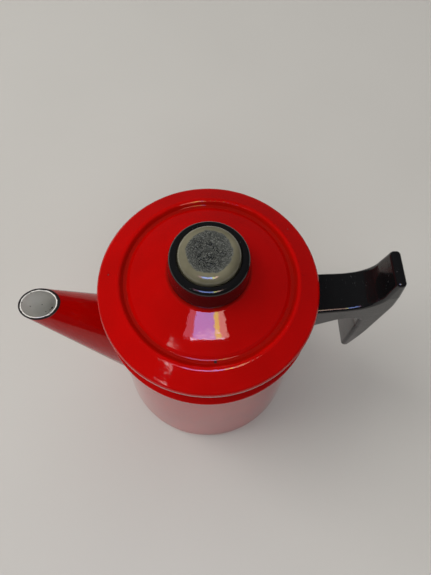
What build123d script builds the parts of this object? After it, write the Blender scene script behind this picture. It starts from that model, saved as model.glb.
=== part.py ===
"""Enamelled stovetop coffee percolator: pot, lid with viewing knob, and lift-out brewing insert.

Millimetres. +Z is up, the origin is the centre of the base on the table.
The spout points to -X and the handle to +X.
"""
import os
from math import cos, radians, sin, tan

from build123d import *

# ---------------------------------------------------------------- overall sizes
LID_RADIUS = 60.0            # outer edge of the lid
BASE_RADIUS = 67.4           # widest part of the wall, just above the foot
SHEET = 1.4                  # enamelled sheet of pot, spout and lid

# ---------------------------------------------------------------- pot
BASE_CORNER = 5.0            # radius between floor and wall
WALL_TOP_Z = 139.0           # where the taper ends and the bead begins
WALL_TOP_RADIUS = 57.2
BEAD_Z = 146.0
BEAD_RADIUS = 61.0
NECK_Z = 151.5               # where the shoulder turns into the neck
NECK_RADIUS = 55.2
RIM_Z = 169.0                # top of the pot, the lid rests here
RIM_FLARE = 1.2              # the rim turns out by this much

# ---------------------------------------------------------------- spout
MOUTH_REACH = 98.8           # axis of the pot to the middle of the mouth
MOUTH_Z = 149.0
MOUTH_RADIUS = 9.4           # square to the spout axis
SPOUT_LIFT = 54.5            # degrees above the horizontal
SPOUT_TAPER = 10.8           # half angle in degrees
SPOUT_WALL_GAP = 0.05        # spout root to pot wall, filled by the weld

# ---------------------------------------------------------------- lid
LID_EDGE_Z = 166.6           # lowest point of the lid's outer edge
LID_EDGE_HEIGHT = 3.6        # upright part of the edge
LID_EDGE_RADIUS = 3.0        # rounding above it
BRIM_OUTER = (57.2, 171.8)   # the sloping brim starts here
CREST = (48.4, 177.1)        # ring between brim and groove
GROOVE_OUTER_TOP = (47.2, 177.1)
GROOVE_OUTER_FOOT = (45.0, 175.3)
GROOVE_INNER_FOOT = (43.2, 175.3)
DOME_EDGE = (41.4, 177.0)
DOME_LOW = (35.0, 180.9)
DOME_HIGH = (28.5, 184.6)
SEAT_RADIUS = 22.0           # flat under the knob
SEAT_Z = 188.0               # top of that flat
FLANGE_RADIUS = 52.4         # locating ring, outside
FLANGE_SHELF_RADIUS = 56.7   # shelf of the ring, resting on the pot rim
FLANGE_DROP = 11.0           # how far it reaches below the pot rim
FLANGE_SHEET = 1.2

# ---------------------------------------------------------------- knob
COLLAR_BASE_RADIUS = 20.8
COLLAR_TOP_RADIUS = 19.4
COLLAR_HEIGHT = 15.8
COLLAR_EDGE = 2.9            # rounding of its top edge
KNOB_THREAD_RADIUS = 16.9    # retainer, outside
THREAD_GAP = 0.15
GLASS_RADIUS = 15.2
GLASS_FLANGE_RADIUS = 16.7
GLASS_FLANGE = 2.6
GLASS_TOP_Z = 209.2
GLASS_WALL = 2.2
GLASS_EDGE = 4.4             # rounding of the glass shoulder
GASKET = 0.8
RETAINER_BORE = 13.6
RETAINER_FLANGE_RADIUS = 20.0
RETAINER_FLANGE = 1.8
SEAL = 0.9

# ---------------------------------------------------------------- handle
GRIP_ROOT_WIDTH = 25.2
GRIP_WIDTH = 22.6            # at the back of the thumb rest
GRIP_TIP_WIDTH = 21.4
GRIP_TOP_WIDTH = 20.4
GRIP_REACH = 107.6           # axis of the pot to the back of the handle
GRIP_TOP_Z = 181.0
GRIP_TIP_Z = 58.5
GRIP_EDGE = 2.4
BRACKET_SHEET = 2.0
BRACKET_WIDTH = 20.0
BRACKET_LOW_Z = 118.0
BRACKET_HIGH_Z = 138.0
TONGUE_WIDTH = 11.0
TONGUE_THICK = 5.0
TONGUE_Z = 133.0
TONGUE_REACH = 80.0
POCKET_GAP = 0.2             # handle pocket around the tongue, each side
SCREW_X = 69.0
SCREW_RADIUS = 2.0
SCREW_HEAD_RADIUS = 4.0
SCREW_HEAD = 2.4
SCREW_GAP = 0.25

# ---------------------------------------------------------------- brewing insert
TUBE_RADIUS = 4.5
TUBE_WALL = 0.8
TUBE_TOP_Z = 188.5
FOOT_RADIUS = 34.0
BELL_SHEET = 1.0
BELL_HEIGHT = 13.0
BELL_HOLES = 6
STOP_RADIUS = 9.0
STOP_THICK = 3.0
BASKET_FLOOR_Z = 96.0
BASKET_RADIUS = 41.0
BASKET_HEIGHT = 46.0
BASKET_SHEET = 1.0
BASKET_LIP = 2.6             # width of the turned-out lip
SLEEVE_GAP = 0.45            # sleeve to stem tube
SLEEVE_WALL = 0.9
HOLE_RADIUS = 1.1
SPREADER_SHEET = 1.0
SPREADER_STEP = 4.0          # depth of the step that centres the cover in the basket
SPREADER_GAP = 0.6
SPREADER_HOLE_RADIUS = 1.0


BASED = (Align.CENTER, Align.CENTER, Align.MIN)


def on_xz(shape):
    """Stand a sketch or line drawn as (radius, height) up in the XZ plane."""
    return Plane.XZ * shape


def turned(points):
    """Solid of revolution from a closed (radius, height) polygon."""
    outline = Polyline(*points, close=True)
    return revolve(on_xz(make_face(outline)), Axis.Z)


def sheet_turned(line, thickness):
    """Revolve a sheet whose outer skin is the given (radius, height) line; the sheet lies to its left."""
    closed = line.offset_2d(thickness, kind=Kind.ARC, side=Side.LEFT, closed=True)
    return revolve(on_xz(make_face(closed.edges())), Axis.Z)


def tube(outer, inner, low, high):
    """Plain ring between two heights."""
    ring = Pos(0, 0, low) * Cylinder(outer, high - low, align=BASED)
    bore = Pos(0, 0, low - 1) * Cylinder(inner, high - low + 2, align=BASED)
    return ring - bore


def wall_radius(z):
    """Outer radius of the tapered wall at a height."""
    share = (z - BASE_CORNER) / (WALL_TOP_Z - BASE_CORNER)
    return BASE_RADIUS + (WALL_TOP_RADIUS - BASE_RADIUS) * share


def spout_frame(distance):
    """Plane square to the spout axis, at a distance from the mouth towards the pot."""
    lift = radians(SPOUT_LIFT)
    outward = Vector(-cos(lift), 0, sin(lift))
    centre = Vector(-MOUTH_REACH, 0, MOUTH_Z) - outward * distance
    return Plane(origin=centre, x_dir=(0, 1, 0), z_dir=outward)


def spout_cone(shrink, start, end):
    """Cone along the spout axis, its skin moved inwards by shrink."""
    slope = tan(radians(SPOUT_TAPER))
    inset = shrink / cos(radians(SPOUT_TAPER))
    near = spout_frame(start) * Circle(MOUTH_RADIUS + start * slope - inset)
    far = spout_frame(end) * Circle(MOUTH_RADIUS + end * slope - inset)
    return loft([far, near])


def pot_solid(offset=0.0):
    """Filled taper of the pot, its skin moved outwards by offset."""
    points = [
        (0, 0),
        (wall_radius(0) + offset, 0),
        (wall_radius(WALL_TOP_Z) + offset, WALL_TOP_Z),
        (0, WALL_TOP_Z),
    ]
    return turned(points)


def make_pot_body():
    """Drawn shell with flat base, tapered wall, bead, neck and turned-out rim."""
    points = [
        (0, 0),
        (wall_radius(0), 0),
        (WALL_TOP_RADIUS, WALL_TOP_Z),
        (BEAD_RADIUS, BEAD_Z - 1.6),
        (BEAD_RADIUS, BEAD_Z + 0.8),
        (NECK_RADIUS, NECK_Z),
        (NECK_RADIUS, RIM_Z - 3.4),
        (NECK_RADIUS + RIM_FLARE, RIM_Z + 0.8),
    ]
    radii = (BASE_CORNER, 4.0, 1.2, 1.2, 1.6, 2.6)
    shell = sheet_turned(FilletPolyline(*points, radius=radii), SHEET)
    rim_land = Pos(0, 0, RIM_Z) * Box(200, 200, 20, align=BASED)
    opening = spout_cone(SHEET, 40, 92)
    return shell - rim_land - opening


def make_spout():
    """Tapered tube, cut level at the mouth and to the pot wall at the root."""
    outer = spout_cone(0, -14, 92)
    bore = spout_cone(SHEET, -16, 94)
    above = Pos(-MOUTH_REACH, 0, MOUTH_Z) * Box(120, 80, 60, align=BASED)
    return outer - bore - above - pot_solid(SPOUT_WALL_GAP)


def make_handle_bracket():
    """Saddle plate curved to the wall, with the tongue that enters the handle."""
    ring = pot_solid(BRACKET_SHEET) - pot_solid(0.02)
    window = Pos(WALL_TOP_RADIUS, 0, BRACKET_LOW_Z) * Box(
        40, BRACKET_WIDTH, BRACKET_HIGH_Z - BRACKET_LOW_Z, align=(Align.CENTER, Align.CENTER, Align.MIN))
    plate = ring & window
    root = wall_radius(TONGUE_Z) + 0.4
    tongue = Pos(root, 0, TONGUE_Z) * Box(
        TONGUE_REACH - root, TONGUE_WIDTH, TONGUE_THICK, align=(Align.MIN, Align.CENTER, Align.CENTER))
    screw_hole = Pos(SCREW_X, 0, TONGUE_Z) * Cylinder(SCREW_RADIUS + 0.02, 20)
    return plate + tongue - screw_hole


def handle_side():
    """Side outline of the handle in (distance from the pot axis, height)."""
    points = [
        (52, 147.4),
        (80, 149.0),
        (95.4, 152.6),
        (GRIP_REACH - 10.6, GRIP_TOP_Z),
        (GRIP_REACH - 5.0, GRIP_TOP_Z),
        (GRIP_REACH - 0.6, 150.0),
        (GRIP_REACH, 100.0),
        (GRIP_REACH - 1.2, GRIP_TIP_Z),
        (GRIP_REACH - 6.6, GRIP_TIP_Z),
        (GRIP_REACH - 12.0, 112.0),
        (GRIP_REACH - 15.0, 130.5),
        (80, 130.5),
        (67, 120.5),
        (52, 113.0),
    ]
    radii = (20, 16, 2.4, 2.4, 60, 60, 2.2, 2.2, 30, 6, 9, 9)
    outline = FilletPolyline(*points, radius=radii)
    root = Line(points[-1], points[0])
    return make_face([*outline.edges(), root])


def make_handle_grip():
    """Black handle: arm with a swept thumb rest and a hanging leg, pocketed for the bracket."""
    half = GRIP_ROOT_WIDTH / 2
    slab = extrude(on_xz(handle_side()), amount=half, both=True)
    low = GRIP_TIP_WIDTH / 2
    top = GRIP_TOP_WIDTH / 2
    front = Polyline((-low, GRIP_TIP_Z), (-half, 128), (-half, 150), (-top, GRIP_TOP_Z + 2), (top, GRIP_TOP_Z + 2),
                     (half, 150), (half, 128), (low, GRIP_TIP_Z), (low, 50), (-low, 50), close=True)
    across = Pos(40, 0, 0) * extrude(Plane.YZ * make_face(front), amount=100)
    back = GRIP_WIDTH / 2
    plan = Polyline((50, half + 0.1), (GRIP_REACH + 3, back), (GRIP_REACH + 3, -back), (50, -half - 0.1), close=True)
    grip = slab & across & extrude(make_face(plan), amount=220)
    long_edges = grip.edges().filter_by(lambda e: abs(e.center().Y) > 3 and e.center().X > 53)
    grip = fillet(long_edges, GRIP_EDGE)
    bead_room = Pos(0, 0, WALL_TOP_Z - 2) * Cylinder(BEAD_RADIUS + 0.3, 40, align=BASED)
    grip = grip - pot_solid(BRACKET_SHEET + 0.1) - bead_room
    pocket = Pos(50, 0, TONGUE_Z) * Box(
        TONGUE_REACH + 1.0 - 50, TONGUE_WIDTH + 2 * POCKET_GAP, TONGUE_THICK + 2 * POCKET_GAP,
        align=(Align.MIN, Align.CENTER, Align.CENTER))
    shank = Pos(SCREW_X, 0, 90) * Cylinder(SCREW_RADIUS + SCREW_GAP, TONGUE_Z - 90, align=BASED)
    head = Pos(SCREW_X, 0, 90) * Cylinder(SCREW_HEAD_RADIUS + SCREW_GAP, screw_head_z() - 90, align=BASED)
    return grip - pocket - shank - head


def screw_head_z():
    """Height of the seat of the screw head inside the arm."""
    return TONGUE_Z - TONGUE_THICK / 2 - 3.4


def make_handle_screw():
    """Slotted cheese-head screw, pointing up through the tongue."""
    seat = screw_head_z()
    head = Pos(SCREW_X, 0, seat) * Cylinder(SCREW_HEAD_RADIUS, SCREW_HEAD, align=(Align.CENTER, Align.CENTER, Align.MAX))
    length = TONGUE_Z + TONGUE_THICK / 2 - seat
    shank = Pos(SCREW_X, 0, seat - 0.5) * Cylinder(SCREW_RADIUS, length + 0.5, align=BASED)
    slot = Pos(SCREW_X, 0, seat - SCREW_HEAD) * Box(12, 1.0, 1.2, align=BASED)
    return head + shank - slot


def make_lid_shell():
    """Pressed lid: upright edge, sloping brim, ring groove, dome and a flat seat for the knob."""
    points = [
        (LID_RADIUS, LID_EDGE_Z),
        (LID_RADIUS, LID_EDGE_Z + LID_EDGE_HEIGHT),
        BRIM_OUTER,
        CREST,
        GROOVE_OUTER_TOP,
        GROOVE_OUTER_FOOT,
        GROOVE_INNER_FOOT,
        DOME_EDGE,
        DOME_LOW,
        DOME_HIGH,
        (SEAT_RADIUS, SEAT_Z),
        (KNOB_THREAD_RADIUS + 0.4, SEAT_Z),
    ]
    radii = (LID_EDGE_RADIUS, 6.0, 1.8, 1.6, 0.7, 0.7, 1.6, 60.0, 60.0, 3.0)
    return sheet_turned(FilletPolyline(*points, radius=radii), SHEET)


def make_lid_flange():
    """Ring welded under the lid: a shelf that rests on the pot rim, and a skirt inside the neck."""
    shelf = tube(FLANGE_SHELF_RADIUS, FLANGE_RADIUS - FLANGE_SHEET, RIM_Z, RIM_Z + FLANGE_SHEET)
    skirt = tube(FLANGE_RADIUS, FLANGE_RADIUS - FLANGE_SHEET, RIM_Z - FLANGE_DROP, RIM_Z + 0.1)
    return shelf + skirt


def make_knob_gasket():
    """Flat ring between the lid and the collar."""
    return tube(COLLAR_BASE_RADIUS - 0.6, KNOB_THREAD_RADIUS + 0.6, SEAT_Z, SEAT_Z + GASKET)


def make_knob_collar():
    """Black ring around the glass, threaded inside, with a lip that holds the glass down."""
    base = SEAT_Z + GASKET
    top = base + COLLAR_HEIGHT
    bore = KNOB_THREAD_RADIUS + THREAD_GAP
    lip = GLASS_RADIUS + 0.2
    lip_z = top - 3.0
    points = [
        (bore, base),
        (COLLAR_BASE_RADIUS, base),
        (COLLAR_TOP_RADIUS, top),
        (lip, top),
        (lip, lip_z),
        (bore, lip_z),
    ]
    radii = (0, 0.6, COLLAR_EDGE, 1.0, 0, 0)
    outline = FilletPolyline(*points, radius=radii, close=True)
    return revolve(on_xz(make_face(outline.edges())), Axis.Z)


def glass_flange_z():
    """Top of the glass flange, just under the collar lip."""
    return SEAT_Z + GASKET + COLLAR_HEIGHT - 3.0


def make_knob_glass():
    """Clear cup, open at the bottom, with a flange that the retainer pushes up."""
    high = glass_flange_z()
    low = high - GLASS_FLANGE
    cup = Pos(0, 0, low) * Cylinder(GLASS_RADIUS, GLASS_TOP_Z - low, align=BASED)
    cup = fillet(cup.edges().group_by(Axis.Z)[-1], GLASS_EDGE)
    flange = Pos(0, 0, low) * Cylinder(GLASS_FLANGE_RADIUS, GLASS_FLANGE, align=BASED)
    hollow = Pos(0, 0, low) * Cylinder(GLASS_RADIUS - GLASS_WALL, GLASS_TOP_Z - GLASS_WALL - low, align=BASED)
    hollow = fillet(hollow.edges().group_by(Axis.Z)[-1], GLASS_EDGE - 1.2)
    return cup + flange - hollow


def make_knob_seal():
    """Ring between the glass flange and the retainer."""
    high = glass_flange_z() - GLASS_FLANGE
    return tube(GLASS_FLANGE_RADIUS, RETAINER_BORE + 0.2, high - SEAL, high)


def make_knob_retainer():
    """Threaded ring put in from below: a flange under the lid and a tube inside the collar."""
    high = glass_flange_z() - GLASS_FLANGE - SEAL
    under = SEAT_Z - SHEET
    body = tube(KNOB_THREAD_RADIUS, RETAINER_BORE, under - RETAINER_FLANGE, high)
    flange = tube(RETAINER_FLANGE_RADIUS, RETAINER_BORE, under - RETAINER_FLANGE, under)
    return body + flange


def make_stem_tube():
    """Riser tube, open at both ends."""
    return tube(TUBE_RADIUS, TUBE_RADIUS - TUBE_WALL, SHEET + 6.0, TUBE_TOP_Z)


def make_stem_foot():
    """Flared bell on the floor of the pot, its neck pressed around the tube."""
    low = SHEET
    neck = TUBE_RADIUS + 0.02 + BELL_SHEET
    points = [
        (FOOT_RADIUS, low),
        (FOOT_RADIUS, low + 3.0),
        (neck, low + BELL_HEIGHT),
        (neck, low + BELL_HEIGHT + 9.0),
    ]
    bell = sheet_turned(FilletPolyline(*points, radius=(1.6, 4.0)), BELL_SHEET)
    return bell - ring_of_holes(FOOT_RADIUS - 5.0, BELL_HOLES, 1.8, low, low + 10)


def ring_of_holes(pitch_radius, count, radius, low, high):
    """Cutters for a ring of upright holes."""
    cutter = Cylinder(radius, high - low, align=BASED)
    spots = PolarLocations(pitch_radius, count)
    return [Pos(0, 0, low) * spot * cutter for spot in spots]


def make_stem_stop():
    """Ring pressed on the tube; the basket stands on it."""
    return tube(STOP_RADIUS, TUBE_RADIUS + 0.02, BASKET_FLOOR_Z - STOP_THICK, BASKET_FLOOR_Z)


def sleeve_radii():
    """Inner and outer radius of the sleeves that slide on the tube."""
    inner = TUBE_RADIUS + SLEEVE_GAP
    return inner, inner + SLEEVE_WALL


def make_basket_shell():
    """Perforated cup with a turned-out lip."""
    hole = sleeve_radii()[1] + 0.02
    top = BASKET_FLOOR_Z + BASKET_HEIGHT - BASKET_SHEET
    points = [
        (hole, BASKET_FLOOR_Z),
        (BASKET_RADIUS, BASKET_FLOOR_Z),
        (BASKET_RADIUS, top),
        (BASKET_RADIUS + BASKET_LIP, top),
    ]
    shell = sheet_turned(FilletPolyline(*points, radius=(3.0, 0.4)), BASKET_SHEET)
    for step in range(5):
        pitch = 12.0 + 5.8 * step
        cutters = ring_of_holes(pitch, 10 + 5 * step, HOLE_RADIUS, BASKET_FLOOR_Z - 1, BASKET_FLOOR_Z + 3)
        shell = shell - cutters
    return shell


def make_basket_sleeve():
    """Centre tube of the basket."""
    inner, outer = sleeve_radii()
    return tube(outer, inner, BASKET_FLOOR_Z, BASKET_FLOOR_Z + BASKET_HEIGHT - SPREADER_STEP - 3.0)


def make_spreader_plate():
    """Perforated cover: a lip on the basket lip and a step that drops inside the cup."""
    hole = sleeve_radii()[1] + 0.02
    lip = BASKET_FLOOR_Z + BASKET_HEIGHT
    step = BASKET_RADIUS - BASKET_SHEET - SPREADER_GAP
    points = [
        (hole, lip - SPREADER_STEP),
        (step, lip - SPREADER_STEP),
        (step, lip),
        (BASKET_RADIUS + BASKET_LIP - 0.6, lip),
    ]
    plate = sheet_turned(FilletPolyline(*points, radius=(1.6, 0.3)), SPREADER_SHEET)
    for ring in range(5):
        pitch = 11.0 + 5.6 * ring
        cutters = ring_of_holes(pitch, 12 + 4 * ring, SPREADER_HOLE_RADIUS, lip - SPREADER_STEP - 1, lip)
        plate = plate - cutters
    return plate


def make_spreader_sleeve():
    """Short collar that keeps the cover square on the tube."""
    inner, outer = sleeve_radii()
    low = BASKET_FLOOR_Z + BASKET_HEIGHT - SPREADER_STEP
    return tube(outer, inner, low, low + 9.0)


def main():
    """Write one STEP file for each piece."""
    os.makedirs("parts", exist_ok=True)
    makers = {
        "pot_body": make_pot_body,
        "spout": make_spout,
        "handle_bracket": make_handle_bracket,
        "handle_grip": make_handle_grip,
        "handle_screw": make_handle_screw,
        "lid_shell": make_lid_shell,
        "lid_flange": make_lid_flange,
        "knob_gasket": make_knob_gasket,
        "knob_collar": make_knob_collar,
        "knob_glass": make_knob_glass,
        "knob_seal": make_knob_seal,
        "knob_retainer": make_knob_retainer,
        "stem_tube": make_stem_tube,
        "stem_foot": make_stem_foot,
        "stem_stop": make_stem_stop,
        "basket_shell": make_basket_shell,
        "basket_sleeve": make_basket_sleeve,
        "spreader_plate": make_spreader_plate,
        "spreader_sleeve": make_spreader_sleeve,
    }
    for name, maker in makers.items():
        export_step(maker(), f"parts/{name}.step")


main()
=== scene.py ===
import math
import bmesh
import bpy
from mathutils import Matrix, Vector


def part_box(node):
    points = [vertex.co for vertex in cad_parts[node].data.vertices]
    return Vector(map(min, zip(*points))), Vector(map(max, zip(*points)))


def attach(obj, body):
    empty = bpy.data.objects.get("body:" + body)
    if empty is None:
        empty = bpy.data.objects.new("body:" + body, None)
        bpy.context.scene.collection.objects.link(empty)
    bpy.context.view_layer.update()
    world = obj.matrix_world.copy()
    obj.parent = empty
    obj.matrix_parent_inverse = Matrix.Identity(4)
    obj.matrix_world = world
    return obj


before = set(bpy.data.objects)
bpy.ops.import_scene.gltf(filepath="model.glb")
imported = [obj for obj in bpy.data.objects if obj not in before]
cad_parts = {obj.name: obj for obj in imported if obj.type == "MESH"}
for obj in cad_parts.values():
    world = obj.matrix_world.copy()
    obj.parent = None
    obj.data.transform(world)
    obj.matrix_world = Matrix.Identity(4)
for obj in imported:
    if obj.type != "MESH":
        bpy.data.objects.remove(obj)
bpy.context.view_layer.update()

# ------------------------------------------------------------------ places, metres
MM = 0.001
POT_HIGH = Vector(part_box("pot_body")[1])
LID_LOW, LID_HIGH = (Vector(corner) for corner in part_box("lid_shell"))
SPOUT_HIGH = Vector(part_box("spout")[1])
GLASS_HIGH = Vector(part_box("knob_glass")[1])
BRACKET_LOW, BRACKET_HIGH = (Vector(corner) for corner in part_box("handle_bracket"))

MOUTH = Vector((-98.8, 0.0, 149.0)) * MM    # middle of the spout's mouth
MOUTH_RADIUS = 9.4 * MM
SPOUT_LIFT = math.radians(54.5)             # the spout's axis above level
SPOUT_TAPER = math.radians(10.8)            # its skin against its axis
SPOUT_REACH = 92 * MM                       # more than the way from the mouth to the wall
SPOUT_AXIS = Vector((-math.cos(SPOUT_LIFT), 0, math.sin(SPOUT_LIFT)))
WALL_LOW = (67.4 * MM, 5.0 * MM)            # radius and height where the wall starts
WALL_HIGH = (57.2 * MM, 139.0 * MM)         # radius and height where it ends
GLASS_DISC = 11.3 * MM                      # radius of the flat, worn top of the glass


def wall_radius(z):
    """Outer radius of the pot's tapered wall at a height."""
    share = (z - WALL_LOW[1]) / (WALL_HIGH[1] - WALL_LOW[1])
    return WALL_LOW[0] + (WALL_HIGH[0] - WALL_LOW[0]) * share


# ------------------------------------------------------------------ camera
TURN = math.radians(-6.0)                   # about the pot's axis
PITCH = math.radians(68.75)                 # down from level
ROLL = math.radians(3.235)
LID_RADIUS = 60 * MM
CAMERA_PLACE = Vector((0.06175, -1.5428, 6.7055)) * LID_RADIUS    # before the turn
SENSOR_WIDTH = 36.0                         # mm, as the lens is
LENS = 38.84


def place_camera():
    """Seen from above and in front, spout to the left, handle to the right."""
    forward = Vector((0, math.cos(PITCH), -math.sin(PITCH)))
    upward = Vector((0, math.sin(PITCH), math.cos(PITCH)))
    right = Vector((1, 0, 0))
    side = right * math.cos(ROLL) + upward * math.sin(ROLL)
    top = upward * math.cos(ROLL) - right * math.sin(ROLL)
    basis = Matrix((side, top, -forward)).transposed().to_4x4()
    basis.translation = CAMERA_PLACE
    data = bpy.data.cameras.new("camera")
    data.sensor_fit = "HORIZONTAL"
    data.sensor_width = SENSOR_WIDTH
    data.lens = LENS
    data.clip_start = 10 * MM
    camera = bpy.data.objects.new("camera", data)
    bpy.context.scene.collection.objects.link(camera)
    camera.matrix_world = Matrix.Rotation(TURN, 4, "Z") @ basis
    bpy.context.scene.camera = camera


# ------------------------------------------------------------------ node graphs
FACING_SOFTNESS = 0.04    # how gently a look changes where the surface turns away
COAT_ROUGH = 0.04
IOR = 1.5


class Graph:
    """One material, with short calls that add nodes and join them."""

    def __init__(self, name, colour, rough, metal=0.0, coat=0.0):
        self.mat = bpy.data.materials.new(name)
        self.mat.use_nodes = True
        self.tree = self.mat.node_tree
        self.shader = self.tree.nodes["Principled BSDF"]
        self.set("Base Color", (*colour, 1))
        self.set("Roughness", rough)
        self.set("Metallic", metal)
        self.set("Coat Weight", coat)
        self.set("Coat Roughness", COAT_ROUGH)
        self.set("IOR", IOR)
        coords = self.tree.nodes.new("ShaderNodeTexCoord")
        self.place = coords.outputs["Object"]
        self.normal = coords.outputs["Normal"]

    def put(self, socket, value):
        """Join a socket to another one, or write a constant on it."""
        if isinstance(value, bpy.types.NodeSocket):
            self.tree.links.new(value, socket)
        else:
            socket.default_value = value

    def set(self, name, value):
        """Give one of the shader's own sockets its value."""
        self.put(self.shader.inputs[name], value)

    def math(self, operation, first, second):
        node = self.tree.nodes.new("ShaderNodeMath")
        node.operation = operation
        self.put(node.inputs[0], first)
        self.put(node.inputs[1], second)
        return node.outputs[0]

    def vector(self, operation, first, second=None):
        node = self.tree.nodes.new("ShaderNodeVectorMath")
        node.operation = operation
        self.put(node.inputs[0], first)
        if second is not None:
            self.put(node.inputs[1], second)
        gives_number = operation in ("DOT_PRODUCT", "LENGTH")
        return node.outputs["Value" if gives_number else "Vector"]

    def scaled(self, vector, factor):
        """Vector times a number."""
        node = self.tree.nodes.new("ShaderNodeVectorMath")
        node.operation = "SCALE"
        self.put(node.inputs[0], vector)
        self.put(node.inputs["Scale"], factor)
        return node.outputs["Vector"]

    def step(self, value, low, high):
        """0 below low, 1 above high, smooth between; low may be the higher of the two."""
        node = self.tree.nodes.new("ShaderNodeMapRange")
        node.interpolation_type = "SMOOTHSTEP"
        self.put(node.inputs["Value"], value)
        if low < high:
            limits = (low, high, 0.0, 1.0)
        else:
            limits = (high, low, 1.0, 0.0)
        for name, limit in zip(("From Min", "From Max", "To Min", "To Max"), limits):
            node.inputs[name].default_value = limit
        return node.outputs["Result"]

    def mix(self, share, low, high):
        """Colour between low and high."""
        node = self.tree.nodes.new("ShaderNodeMix")
        node.data_type = "RGBA"
        self.put(node.inputs[0], share)
        for socket, value in ((node.inputs[6], low), (node.inputs[7], high)):
            self.put(socket, (*value, 1) if isinstance(value, tuple) else value)
        return node.outputs[2]

    def blend(self, share, low, high):
        """Number between low and high."""
        node = self.tree.nodes.new("ShaderNodeMix")
        node.data_type = "FLOAT"
        self.put(node.inputs[0], share)
        self.put(node.inputs[2], low)
        self.put(node.inputs[3], high)
        return node.outputs[0]

    def noise(self, scale, detail=2.0, rough=0.5, warp=0.0, where=None):
        """Cloudy value around 0.5; scale is in clouds per metre."""
        node = self.tree.nodes.new("ShaderNodeTexNoise")
        self.put(node.inputs["Vector"], where or self.place)
        node.inputs["Scale"].default_value = scale
        node.inputs["Detail"].default_value = detail
        node.inputs["Roughness"].default_value = rough
        node.inputs["Distortion"].default_value = warp
        return node.outputs["Fac"]

    def wander(self, scale, detail, span):
        """Noise around zero, to make an edge ragged."""
        around_zero = self.math("SUBTRACT", self.noise(scale, detail), 0.5)
        return self.math("MULTIPLY", around_zero, span)

    def bump(self, height, distance, strength=1.0):
        """Raise the surface by height times distance, in metres."""
        node = self.tree.nodes.new("ShaderNodeBump")
        node.inputs["Strength"].default_value = strength
        node.inputs["Distance"].default_value = distance
        self.put(node.inputs["Height"], height)
        self.set("Normal", node.outputs["Normal"])

    def height(self):
        """Height above the floor."""
        node = self.tree.nodes.new("ShaderNodeSeparateXYZ")
        self.put(node.inputs[0], self.place)
        return node.outputs["Z"]

    def from_axis(self):
        """Level vector from the pot's axis."""
        return self.vector("MULTIPLY", self.place, (1, 1, 0))

    def radius(self):
        """Distance from the pot's axis."""
        return self.vector("LENGTH", self.from_axis())

    def facing(self, way):
        """1 where the surface faces the given way, 0 where it faces back."""
        along = self.vector("DOT_PRODUCT", way, self.normal)
        return self.step(along, -FACING_SOFTNESS, FACING_SOFTNESS)

    def spot(self, centre, radius):
        """1 inside a ragged spot around a point."""
        away = self.vector("SUBTRACT", self.place, tuple(centre))
        distance = self.vector("LENGTH", away)
        wobble = self.wander(1400, 2, 0.7 * radius)
        return self.step(self.math("ADD", distance, wobble), radius * 1.12, radius * 0.88)


# ------------------------------------------------------------------ enamel
RED = (0.50, 0.0010, 0.0004)
RED_DEEP = (0.42, 0.0012, 0.0003)
# darker red painted as shade into the lid's ring groove and around the knob's base
RED_SHADED = (0.16, 0.004, 0.001)
WHITE = (0.86, 0.86, 0.83)
WHITE_AGED = (0.72, 0.69, 0.60)
BURNT = (0.012, 0.008, 0.008)
SHINY, WORN = 0.035, 0.08                       # roughness of clean and of worn enamel
BURNT_ROUGH = 0.4                               # added where it is burnt or chipped
CHIP_DEPTH = 0.8                                # against the orange peel's 0.22
ENAMEL_RELIEF = 0.14 * MM
GROOVE_INNER = (42.4 * MM, 43.8 * MM)           # radii between which the painted shade in the groove comes in
GROOVE_OUTER = (47.4 * MM, 45.8 * MM)           # and goes again
# radii between which the painted shade around the knob's base comes in
COLLAR_SHADE = (22.4 * MM, 20.9 * MM)
# how far the painted shade darkens the red
SHADE_STRENGTH = 0.6


def red_coat(graph):
    """Slightly uneven red."""
    cloud = graph.step(graph.noise(26, 3), 0.3, 0.72)
    return graph.mix(cloud, RED, RED_DEEP)


def white_coat(graph):
    """White enamel with coffee staining and fine dark pinholes."""
    stain = graph.step(graph.noise(18, 4, 0.6), 0.42, 0.8)
    pinholes = graph.step(graph.noise(520, 0), 0.21, 0.18)
    return graph.mix(pinholes, graph.mix(stain, WHITE, WHITE_AGED), BURNT)


def enamel(name, outside, bare_edge, spots=(), painted_shade=None):
    """Glossy enamel: red where outside is 1, white where it is 0, burnt black along the bare edge; the
    optional mask darkens the red as painted shade.
    """
    graph = Graph(name, RED, 0.06)
    red = red_coat(graph)
    # painted shade: the red is darkened where the mask is 1
    if painted_shade:
        red = graph.mix(painted_shade(graph), red, RED_SHADED)
    colour = graph.mix(outside(graph), white_coat(graph), red)
    dark = bare_edge(graph)
    for centre, radius in spots:
        dark = graph.math("MAXIMUM", dark, graph.spot(centre, radius))
    graph.set("Base Color", graph.mix(dark, colour, BURNT))
    wear = graph.step(graph.noise(60, 5, 0.65), 0.45, 0.75)
    dulled = graph.math("MULTIPLY", dark, BURNT_ROUGH)
    graph.set("Roughness", graph.math("ADD", graph.blend(wear, SHINY, WORN), dulled))
    peel = graph.math("MULTIPLY", graph.noise(430, 2, 0.55), 0.22)
    sag = graph.math("MULTIPLY", graph.noise(55, 1), 0.15)
    waves = graph.math("ADD", peel, sag)
    graph.bump(graph.math("SUBTRACT", waves, graph.math("MULTIPLY", dark, CHIP_DEPTH)), ENAMEL_RELIEF)
    return graph.mat


def nowhere(graph):
    """No part of the surface."""
    return 0.0


def pot_outside(graph):
    """The wall's outside and the underside, against the inside of the pot."""
    outward = graph.vector("NORMALIZE", graph.from_axis())
    return graph.facing(graph.vector("ADD", graph.scaled(outward, 0.9), (0, 0, -0.43)))


def pot_edge(graph):
    """Worn line where the floor turns into the wall, and the bare rim."""
    height = graph.height()
    ragged = graph.math("MULTIPLY", graph.noise(240, 3), 0.9 * MM)
    foot = graph.step(graph.math("ADD", height, ragged), 1.25 * MM, 0.85 * MM)
    rim = graph.step(height, POT_HIGH.z - 0.3 * MM, POT_HIGH.z - 0.1 * MM)
    return graph.math("MAXIMUM", foot, rim)


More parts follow.
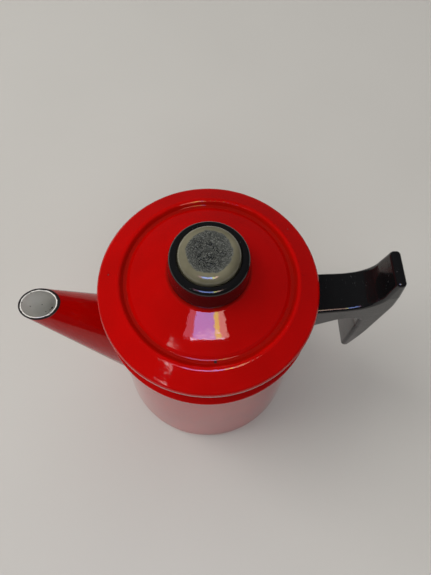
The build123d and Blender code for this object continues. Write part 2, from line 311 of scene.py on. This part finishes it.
def lid_outside(graph):
    """The top of the lid, against its hollow side."""
    outward = graph.vector("NORMALIZE", graph.from_axis())
    return graph.facing(graph.vector("ADD", graph.scaled(outward, 0.6), (0, 0, 0.8)))


def lid_edge(graph):
    """Bare line along the lid's lower edge."""
    ragged = graph.math("MULTIPLY", graph.noise(300, 3), 0.5 * MM)
    level = graph.math("ADD", graph.height(), ragged)
    return graph.step(level, LID_LOW.z + 0.75 * MM, LID_LOW.z + 0.45 * MM)


def groove_painted_shade(graph):
    """Painted shade: darker red in the ring groove and around the base of the knob."""
    radius = graph.math("ADD", graph.radius(), graph.wander(120, 3, 1.6 * MM))
    groove = graph.math("MULTIPLY", graph.step(radius, *GROOVE_INNER), graph.step(radius, *GROOVE_OUTER))
    knob = graph.step(radius, *COLLAR_SHADE)
    return graph.math("MULTIPLY", graph.math("MAXIMUM", groove, knob), SHADE_STRENGTH)


def from_spout_axis(graph):
    """Distance along the spout's axis from its mouth, and the vector square to that axis."""
    away = graph.vector("SUBTRACT", graph.place, tuple(MOUTH))
    along = graph.vector("DOT_PRODUCT", away, tuple(SPOUT_AXIS))
    on_axis = graph.scaled(tuple(SPOUT_AXIS), along)
    return along, graph.vector("SUBTRACT", away, on_axis)


def spout_outside(graph):
    """The spout's skin, without its bore and its cut rim."""
    square = from_spout_axis(graph)[1]
    skin = graph.facing(graph.vector("NORMALIZE", square))
    below_rim = graph.step(graph.height(), SPOUT_HIGH.z - 0.02 * MM, SPOUT_HIGH.z - 0.1 * MM)
    return graph.math("MULTIPLY", skin, below_rim)


def spout_edge(graph):
    """Burnt line round the outside of the mouth's cut rim."""
    along, square = from_spout_axis(graph)
    skin = graph.math("SUBTRACT", MOUTH_RADIUS, graph.math("MULTIPLY", along, math.tan(SPOUT_TAPER)))
    depth = graph.math("SUBTRACT", skin, graph.vector("LENGTH", square))
    ragged = graph.wander(420, 2, 0.9 * MM)
    line = graph.step(graph.math("ADD", depth, ragged), 1.15 * MM, 0.85 * MM)
    lip = graph.math("ADD", graph.height(), graph.math("MULTIPLY", ragged, 0.6))
    return graph.math("MULTIPLY", line, graph.step(lip, SPOUT_HIGH.z - 0.5 * MM, SPOUT_HIGH.z - 0.2 * MM))


# ------------------------------------------------------------------ other materials
PLASTIC = (0.006, 0.006, 0.0065)
PLASTIC_SCRATCHED = (0.02, 0.02, 0.021)
GLASS_BODY = (0.22, 0.205, 0.14)
GLASS_CLOUDS = ((0.27, 0.25, 0.17), (0.19, 0.175, 0.115))
GLASS_GREY = (0.19, 0.195, 0.175)
SCRUBBED = (0.012, 0.014, 0.014)
STROKES_PER_M = 620.0
RUBBER = (0.016, 0.014, 0.013)
RUBBER_WORN = (0.06, 0.05, 0.045)
ALUMINIUM = (0.68, 0.68, 0.69)
ALUMINIUM_DULL = (0.45, 0.43, 0.40)
TURNED_LINES_PER_M = 2600
STEEL = (0.46, 0.45, 0.44)
STEEL_TARNISHED = (0.16, 0.13, 0.11)


def black_plastic(name, rough):
    """Polished phenolic: fine flow marks, a few dull rubs and hairline scratches."""
    graph = Graph(name, PLASTIC, rough)
    rubbed = graph.step(graph.noise(70, 4, 0.6), 0.5, 0.78)
    squeezed = graph.vector("MULTIPLY", graph.place, (900, 260, 260))
    lines = graph.step(graph.noise(1.0, 3, 0.6, 1.2, squeezed), 0.66, 0.72)
    dulled = graph.blend(rubbed, rough, rough + 0.13)
    graph.set("Roughness", graph.math("ADD", dulled, graph.math("MULTIPLY", lines, 0.2)))
    graph.set("Base Color", graph.mix(lines, PLASTIC, PLASTIC_SCRATCHED))
    flow = graph.math("ADD", graph.noise(120, 2), graph.math("MULTIPLY", graph.noise(900, 2), 0.12))
    graph.bump(flow, 0.12 * MM, 0.6)
    return graph.mat


def worn_top(graph):
    """1 on the flat top of the glass, with a ragged outline."""
    ragged = graph.math("ADD", graph.radius(), graph.wander(260, 2, 2.4 * MM))
    disc = graph.step(ragged, GLASS_DISC, GLASS_DISC * 0.93)
    near_top = graph.step(graph.height(), GLASS_HIGH.z - 0.9 * MM, GLASS_HIGH.z - 0.4 * MM)
    return graph.math("MULTIPLY", disc, near_top)


def scribbles(graph):
    """Dark tangled strokes, closest together in the middle of the disc."""
    swirl = graph.scaled((11.0, -9.0, 4.0), graph.noise(150, 2, 0.5))
    turned = graph.vector("ADD", graph.scaled(graph.place, STROKES_PER_M), swirl)
    coarse = graph.math("MULTIPLY", graph.noise(1.0, 3, 0.8, 3.5, turned), 0.6)
    fine = graph.math("MULTIPLY", graph.noise(1500, 2, 0.7, 1.5), 0.4)
    strokes = graph.step(graph.math("ADD", coarse, fine), 0.575, 0.50)
    patchy = graph.step(graph.noise(170, 3, 0.6), 0.3, 0.6)
    middle = graph.step(graph.radius(), GLASS_DISC * 1.05, GLASS_DISC * 0.55)
    depth = graph.blend(graph.math("MULTIPLY", patchy, middle), 0.72, 1.0)
    return graph.math("MULTIPLY", strokes, depth)


def old_glass():
    """Yellowed moulded cover; the flat top is scrubbed dark by years of turning pads."""
    graph = Graph("clear", GLASS_BODY, 0.10, coat=0.3)
    top = worn_top(graph)
    scrubbed = graph.math("MULTIPLY", scribbles(graph), top)
    cloud = graph.mix(graph.step(graph.noise(85, 3), 0.35, 0.7), *GLASS_CLOUDS)
    greyed = graph.mix(top, cloud, GLASS_GREY)
    graph.set("Base Color", graph.mix(scrubbed, greyed, SCRUBBED))
    graph.set("Roughness", graph.blend(top, 0.08, 0.2))
    graph.set("Transmission Weight", graph.blend(top, 0.3, 0.05))
    graph.bump(graph.math("MULTIPLY", scrubbed, -1.0), 0.1 * MM, 0.5)
    return graph.mat


def rubber():
    """Hard old rubber, greyed in patches."""
    graph = Graph("seal", RUBBER, 0.62)
    worn = graph.step(graph.noise(160, 4), 0.45, 0.75)
    graph.set("Base Color", graph.mix(worn, RUBBER, RUBBER_WORN))
    graph.set("Roughness", graph.blend(worn, 0.55, 0.8))
    graph.bump(graph.noise(1200, 2), 0.1 * MM)
    return graph.mat


def spun_aluminium():
    """Pressed aluminium with turning marks around the axis and limescale clouds."""
    graph = Graph("aluminium", ALUMINIUM, 0.3, metal=1.0)
    across = graph.math("MULTIPLY", graph.radius(), TURNED_LINES_PER_M)
    down = graph.math("MULTIPLY", graph.height(), TURNED_LINES_PER_M * 0.9)
    rings = graph.noise(1.0, 2, 0.5, 0.0, graph.scaled((1.0, 0.0, 0.0), graph.math("ADD", across, down)))
    scale = graph.step(graph.noise(45, 5, 0.65), 0.42, 0.72)
    graph.set("Base Color", graph.mix(scale, ALUMINIUM, ALUMINIUM_DULL))
    graph.set("Roughness", graph.blend(scale, 0.22, 0.5))
    graph.bump(rings, 0.12 * MM, 0.7)
    return graph.mat


def plated_steel():
    """Bright plating with brown tarnish."""
    graph = Graph("steel", STEEL, 0.3, metal=1.0)
    tarnish = graph.step(graph.noise(90, 5, 0.65), 0.45, 0.7)
    graph.set("Base Color", graph.mix(tarnish, STEEL, STEEL_TARNISHED))
    graph.set("Roughness", graph.blend(tarnish, 0.25, 0.55))
    graph.bump(graph.noise(700, 3), 0.1 * MM, 0.6)
    return graph.mat


# Where the enamel has chipped to the black ground coat: centre and radius.
POT_CHIPS = [
    (Vector((4.0, -66.8, 1.6)) * MM, 1.2 * MM),
    (Vector((30.0, 56.0, 60.0)) * MM, 0.8 * MM),
]
LID_CHIPS = [
    (Vector((1.2 * MM, -44.0 * MM, LID_HIGH.z - 12.2 * MM)), 0.9 * MM),
    (Vector((-53.0 * MM, 5.5 * MM, LID_LOW.z + 7.4 * MM)), 0.45 * MM),
    (Vector((45.2 * MM, 29.0 * MM, LID_LOW.z + 7.2 * MM)), 0.35 * MM),
]


def dress_nodes():
    """Give every CAD node its material; the aluminium insert takes the one that isn't listed."""
    collar = black_plastic("black_knob", 0.10)
    bright = spun_aluminium()
    steel = plated_steel()
    seal = rubber()
    finishes = {
        "pot_body": enamel("red_enamel", pot_outside, pot_edge, POT_CHIPS),
        "spout": enamel("red_enamel_spout", spout_outside, spout_edge),
        # the lid's groove and the ring around the knob get painted shade
        "lid_shell": enamel("red_enamel_lid", lid_outside, lid_edge, LID_CHIPS, groove_painted_shade),
        "lid_flange": enamel("white_enamel", nowhere, nowhere),
        "handle_bracket": steel,
        "handle_screw": steel,
        "handle_grip": black_plastic("black_plastic", 0.14),
        "knob_collar": collar,
        "knob_retainer": collar,
        "knob_gasket": seal,
        "knob_seal": seal,
        "knob_glass": old_glass(),
    }
    for name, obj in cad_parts.items():
        obj.data.materials.clear()
        obj.data.materials.append(finishes.get(name, bright))
    return finishes


# ------------------------------------------------------------------ added pieces
BEAD_CORNERS = 10
SPOUT_WELD = (120, 0.9 * MM)      # points along the bead, and its radius
BRACKET_WELD = (96, 0.8 * MM)
HALVINGS = 40                     # enough to find a weld point exactly
SADDLE_SQUARENESS = 6             # of the saddle plate's rounded outline
SADDLE_LIFT = 0.3 * MM            # of the bracket's bead above the wall


def bead(name, points, radius, mat, body):
    """Closed weld bead, uneven along its length, through the given points."""
    count = len(points)
    mesh = bmesh.new()
    rings = []
    for index, point in enumerate(points):
        ahead = points[(index + 1) % count] - points[index - 1]
        across = ahead.cross(Vector((0, 0, 1)))
        if across.length < 1e-9:
            across = ahead.cross(Vector((0, 1, 0)))
        across.normalize()
        up = across.cross(ahead).normalized()
        swell = radius * (1 + 0.12 * math.sin(index * 1.9) + 0.07 * math.sin(index * 0.73))
        ring = []
        for corner in range(BEAD_CORNERS):
            angle = 2 * math.pi * corner / BEAD_CORNERS
            ring.append(mesh.verts.new(point + (across * math.cos(angle) + up * math.sin(angle)) * swell))
        rings.append(ring)
    for index in range(count):
        near, far = rings[index], rings[(index + 1) % count]
        for corner in range(BEAD_CORNERS):
            after = (corner + 1) % BEAD_CORNERS
            mesh.faces.new((near[corner], near[after], far[after], far[corner]))
    bmesh.ops.recalc_face_normals(mesh, faces=mesh.faces)
    data = bpy.data.meshes.new(name)
    mesh.to_mesh(data)
    mesh.free()
    for face in data.polygons:
        face.use_smooth = True
    data.materials.append(mat)
    piece = bpy.data.objects.new(name, data)
    bpy.context.scene.collection.objects.link(piece)
    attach(piece, body)


def spout_root_points(count):
    """Where the spout's skin meets the pot wall, found by halving along the skin."""
    sideways = Vector((0, 1, 0))
    upward = SPOUT_AXIS.cross(sideways)
    points = []
    for index in range(count):
        angle = 2 * math.pi * index / count
        out = sideways * math.cos(angle) + upward * math.sin(angle)
        low, high = 0.0, SPOUT_REACH
        for _ in range(HALVINGS):
            middle = (low + high) / 2
            point = MOUTH - SPOUT_AXIS * middle + out * (MOUTH_RADIUS + middle * math.tan(SPOUT_TAPER))
            if math.hypot(point.x, point.y) > wall_radius(point.z):
                low = middle
            else:
                high = middle
        points.append(point)
    return points


def bracket_edge_points(count):
    """Around the saddle plate of the handle bracket, on the pot wall."""
    half = (BRACKET_HIGH.y - BRACKET_LOW.y) / 2
    middle = (BRACKET_LOW.z + BRACKET_HIGH.z) / 2
    tall = (BRACKET_HIGH.z - BRACKET_LOW.z) / 2
    power = SADDLE_SQUARENESS
    points = []
    for index in range(count):
        angle = 2 * math.pi * index / count
        reach = (abs(math.cos(angle)) ** power + abs(math.sin(angle)) ** power) ** (-1 / power)
        y = half * reach * math.cos(angle)
        z = middle + tall * reach * math.sin(angle)
        radius = wall_radius(z) + SADDLE_LIFT
        points.append(Vector((math.sqrt(radius ** 2 - y ** 2), y, z)))
    return points


# ------------------------------------------------------------------ stage
POT_MIDDLE = Vector((0, 0, 120 * MM))
LID_TOP = Vector((0, 0, LID_HIGH.z))
WINDOW = (-92, 53, 2.2)           # compass angle, height angle and distance from the lid
PANES = (                         # name, place across and up, size, radiance by colour
    ("window_left", -0.78, 0.08, (0.34, 0.77), (3.0, 1.3, 1.8)),
    ("window", -0.19, 0.08, (0.84, 0.77), (3.0, 4.4, 10.5)),
    ("window_stripe", 0.33, 0.08, (0.20, 0.77), (9.0, 9.5, 2.6)),
    ("window_right", 0.57, 0.08, (0.28, 0.77), (7.0, 4.2, 3.6)),
    ("sill", -0.05, -0.32, (1.3, 0.035), (15.0, 13.0, 17.0)),
)
STRIP_HEIGHT_ANGLES = (35.6, 36.15)
FLOOR_HALF = 1.1
FLOOR = (0.60, 0.585, 0.555)
FLOOR_DEEP = (0.575, 0.56, 0.53)
SURROUNDINGS = (0.045, 0.045, 0.05)    # what lights the pot and shows in it
BACKDROP = (0.46, 0.455, 0.44)         # what the camera sees behind the floor


def area(name, place, size, power, colour, target, glossy, diffuse):
    """Rectangular light turned to its target, for reflections, for shading or for both."""
    data = bpy.data.lights.new(name, "AREA")
    data.shape = "RECTANGLE"
    data.size, data.size_y = size
    data.energy = power
    data.color = colour
    lamp = bpy.data.objects.new(name, data)
    lamp.location = place
    lamp.rotation_euler = (target - place).to_track_quat("-Z", "Y").to_euler()
    lamp.visible_glossy = glossy
    lamp.visible_diffuse = diffuse
    bpy.context.scene.collection.objects.link(lamp)


def aimed(azimuth, elevation, distance):
    """Place at a compass angle and height angle, seen from the lid."""
    turn, rise = math.radians(azimuth), math.radians(elevation)
    flat = distance * math.cos(rise)
    return Vector((flat * math.cos(turn), flat * math.sin(turn), LID_HIGH.z + distance * math.sin(rise)))


def pane(name, across, up, size, glow):
    """One pane of the window in front of the pot, seen only in reflections; glow is its radiance."""
    centre = aimed(*WINDOW)
    facing = (LID_TOP - centre).normalized()
    rightward = facing.cross(Vector((0, 0, 1))).normalized()
    upward = rightward.cross(facing)
    place = centre + rightward * across + upward * up
    strongest = max(glow)
    power = strongest * math.pi * size[0] * size[1]
    colour = tuple(share / strongest for share in glow)
    area(name, place, size, power, colour, place + facing, glossy=True, diffuse=False)


def strip(elevation):
    """Thin tube light, seen only in reflections."""
    place = aimed(-130, elevation, 2.2)
    area("strip", place, (0.42, 0.006), 0.16, (1.0, 0.98, 0.94), POT_MIDDLE, glossy=True, diffuse=False)


def soft(name, place, side, power, colour):
    """Large square light that shades the pot but doesn't show in it."""
    area(name, place, (side, side), power, colour, POT_MIDDLE, glossy=False, diffuse=True)


def build_lights():
    for place_and_look in PANES:
        pane(*place_and_look)
    for elevation in STRIP_HEIGHT_ANGLES:
        strip(elevation)
    soft("key", aimed(-100, 55, 2.4), 1.6, 20, (1.0, 0.985, 0.96))
    soft("fill_left", aimed(165, 50, 2.4), 1.6, 35, (1.0, 0.985, 0.95))
    soft("ceiling", Vector((0.1, 0.7, 2.4)), 2.4, 19, (1.0, 0.99, 0.96))


def build_world():
    """Pale backdrop to look at, dim surroundings to be lit and reflected by."""
    world = bpy.data.worlds.new("studio")
    bpy.context.scene.world = world
    world.use_nodes = True
    tree = world.node_tree
    background = tree.nodes["Background"]
    path = tree.nodes.new("ShaderNodeLightPath")
    mix = tree.nodes.new("ShaderNodeMix")
    mix.data_type = "RGBA"
    tree.links.new(path.outputs["Is Camera Ray"], mix.inputs[0])
    mix.inputs[6].default_value = (*SURROUNDINGS, 1)
    mix.inputs[7].default_value = (*BACKDROP, 1)
    tree.links.new(mix.outputs[2], background.inputs["Color"])
    background.inputs["Strength"].default_value = 1.0


def build_floor():
    """Plain pale surface, with the faintest change of tone."""
    mesh = bpy.data.meshes.new("floor")
    corners = [(x * FLOOR_HALF, y * FLOOR_HALF, 0) for x, y in ((-1, -1), (1, -1), (1, 1), (-1, 1))]
    mesh.from_pydata(corners, [], [(0, 1, 2, 3)])
    floor = bpy.data.objects.new("floor", mesh)
    bpy.context.scene.collection.objects.link(floor)
    graph = Graph("floor", FLOOR, 0.6)
    tone = graph.step(graph.noise(4, 3), 0.2, 0.8)
    graph.set("Base Color", graph.mix(tone, FLOOR, FLOOR_DEEP))
    mesh.materials.append(graph.mat)


place_camera()
FINISHES = dress_nodes()
bead("spout_weld", spout_root_points(SPOUT_WELD[0]), SPOUT_WELD[1], FINISHES["spout"], "pot")
bead("bracket_weld", bracket_edge_points(BRACKET_WELD[0]), BRACKET_WELD[1], FINISHES["handle_bracket"],
     "pot")
build_floor()
build_world()
build_lights()
bpy.context.scene.view_settings.view_transform = "Standard"
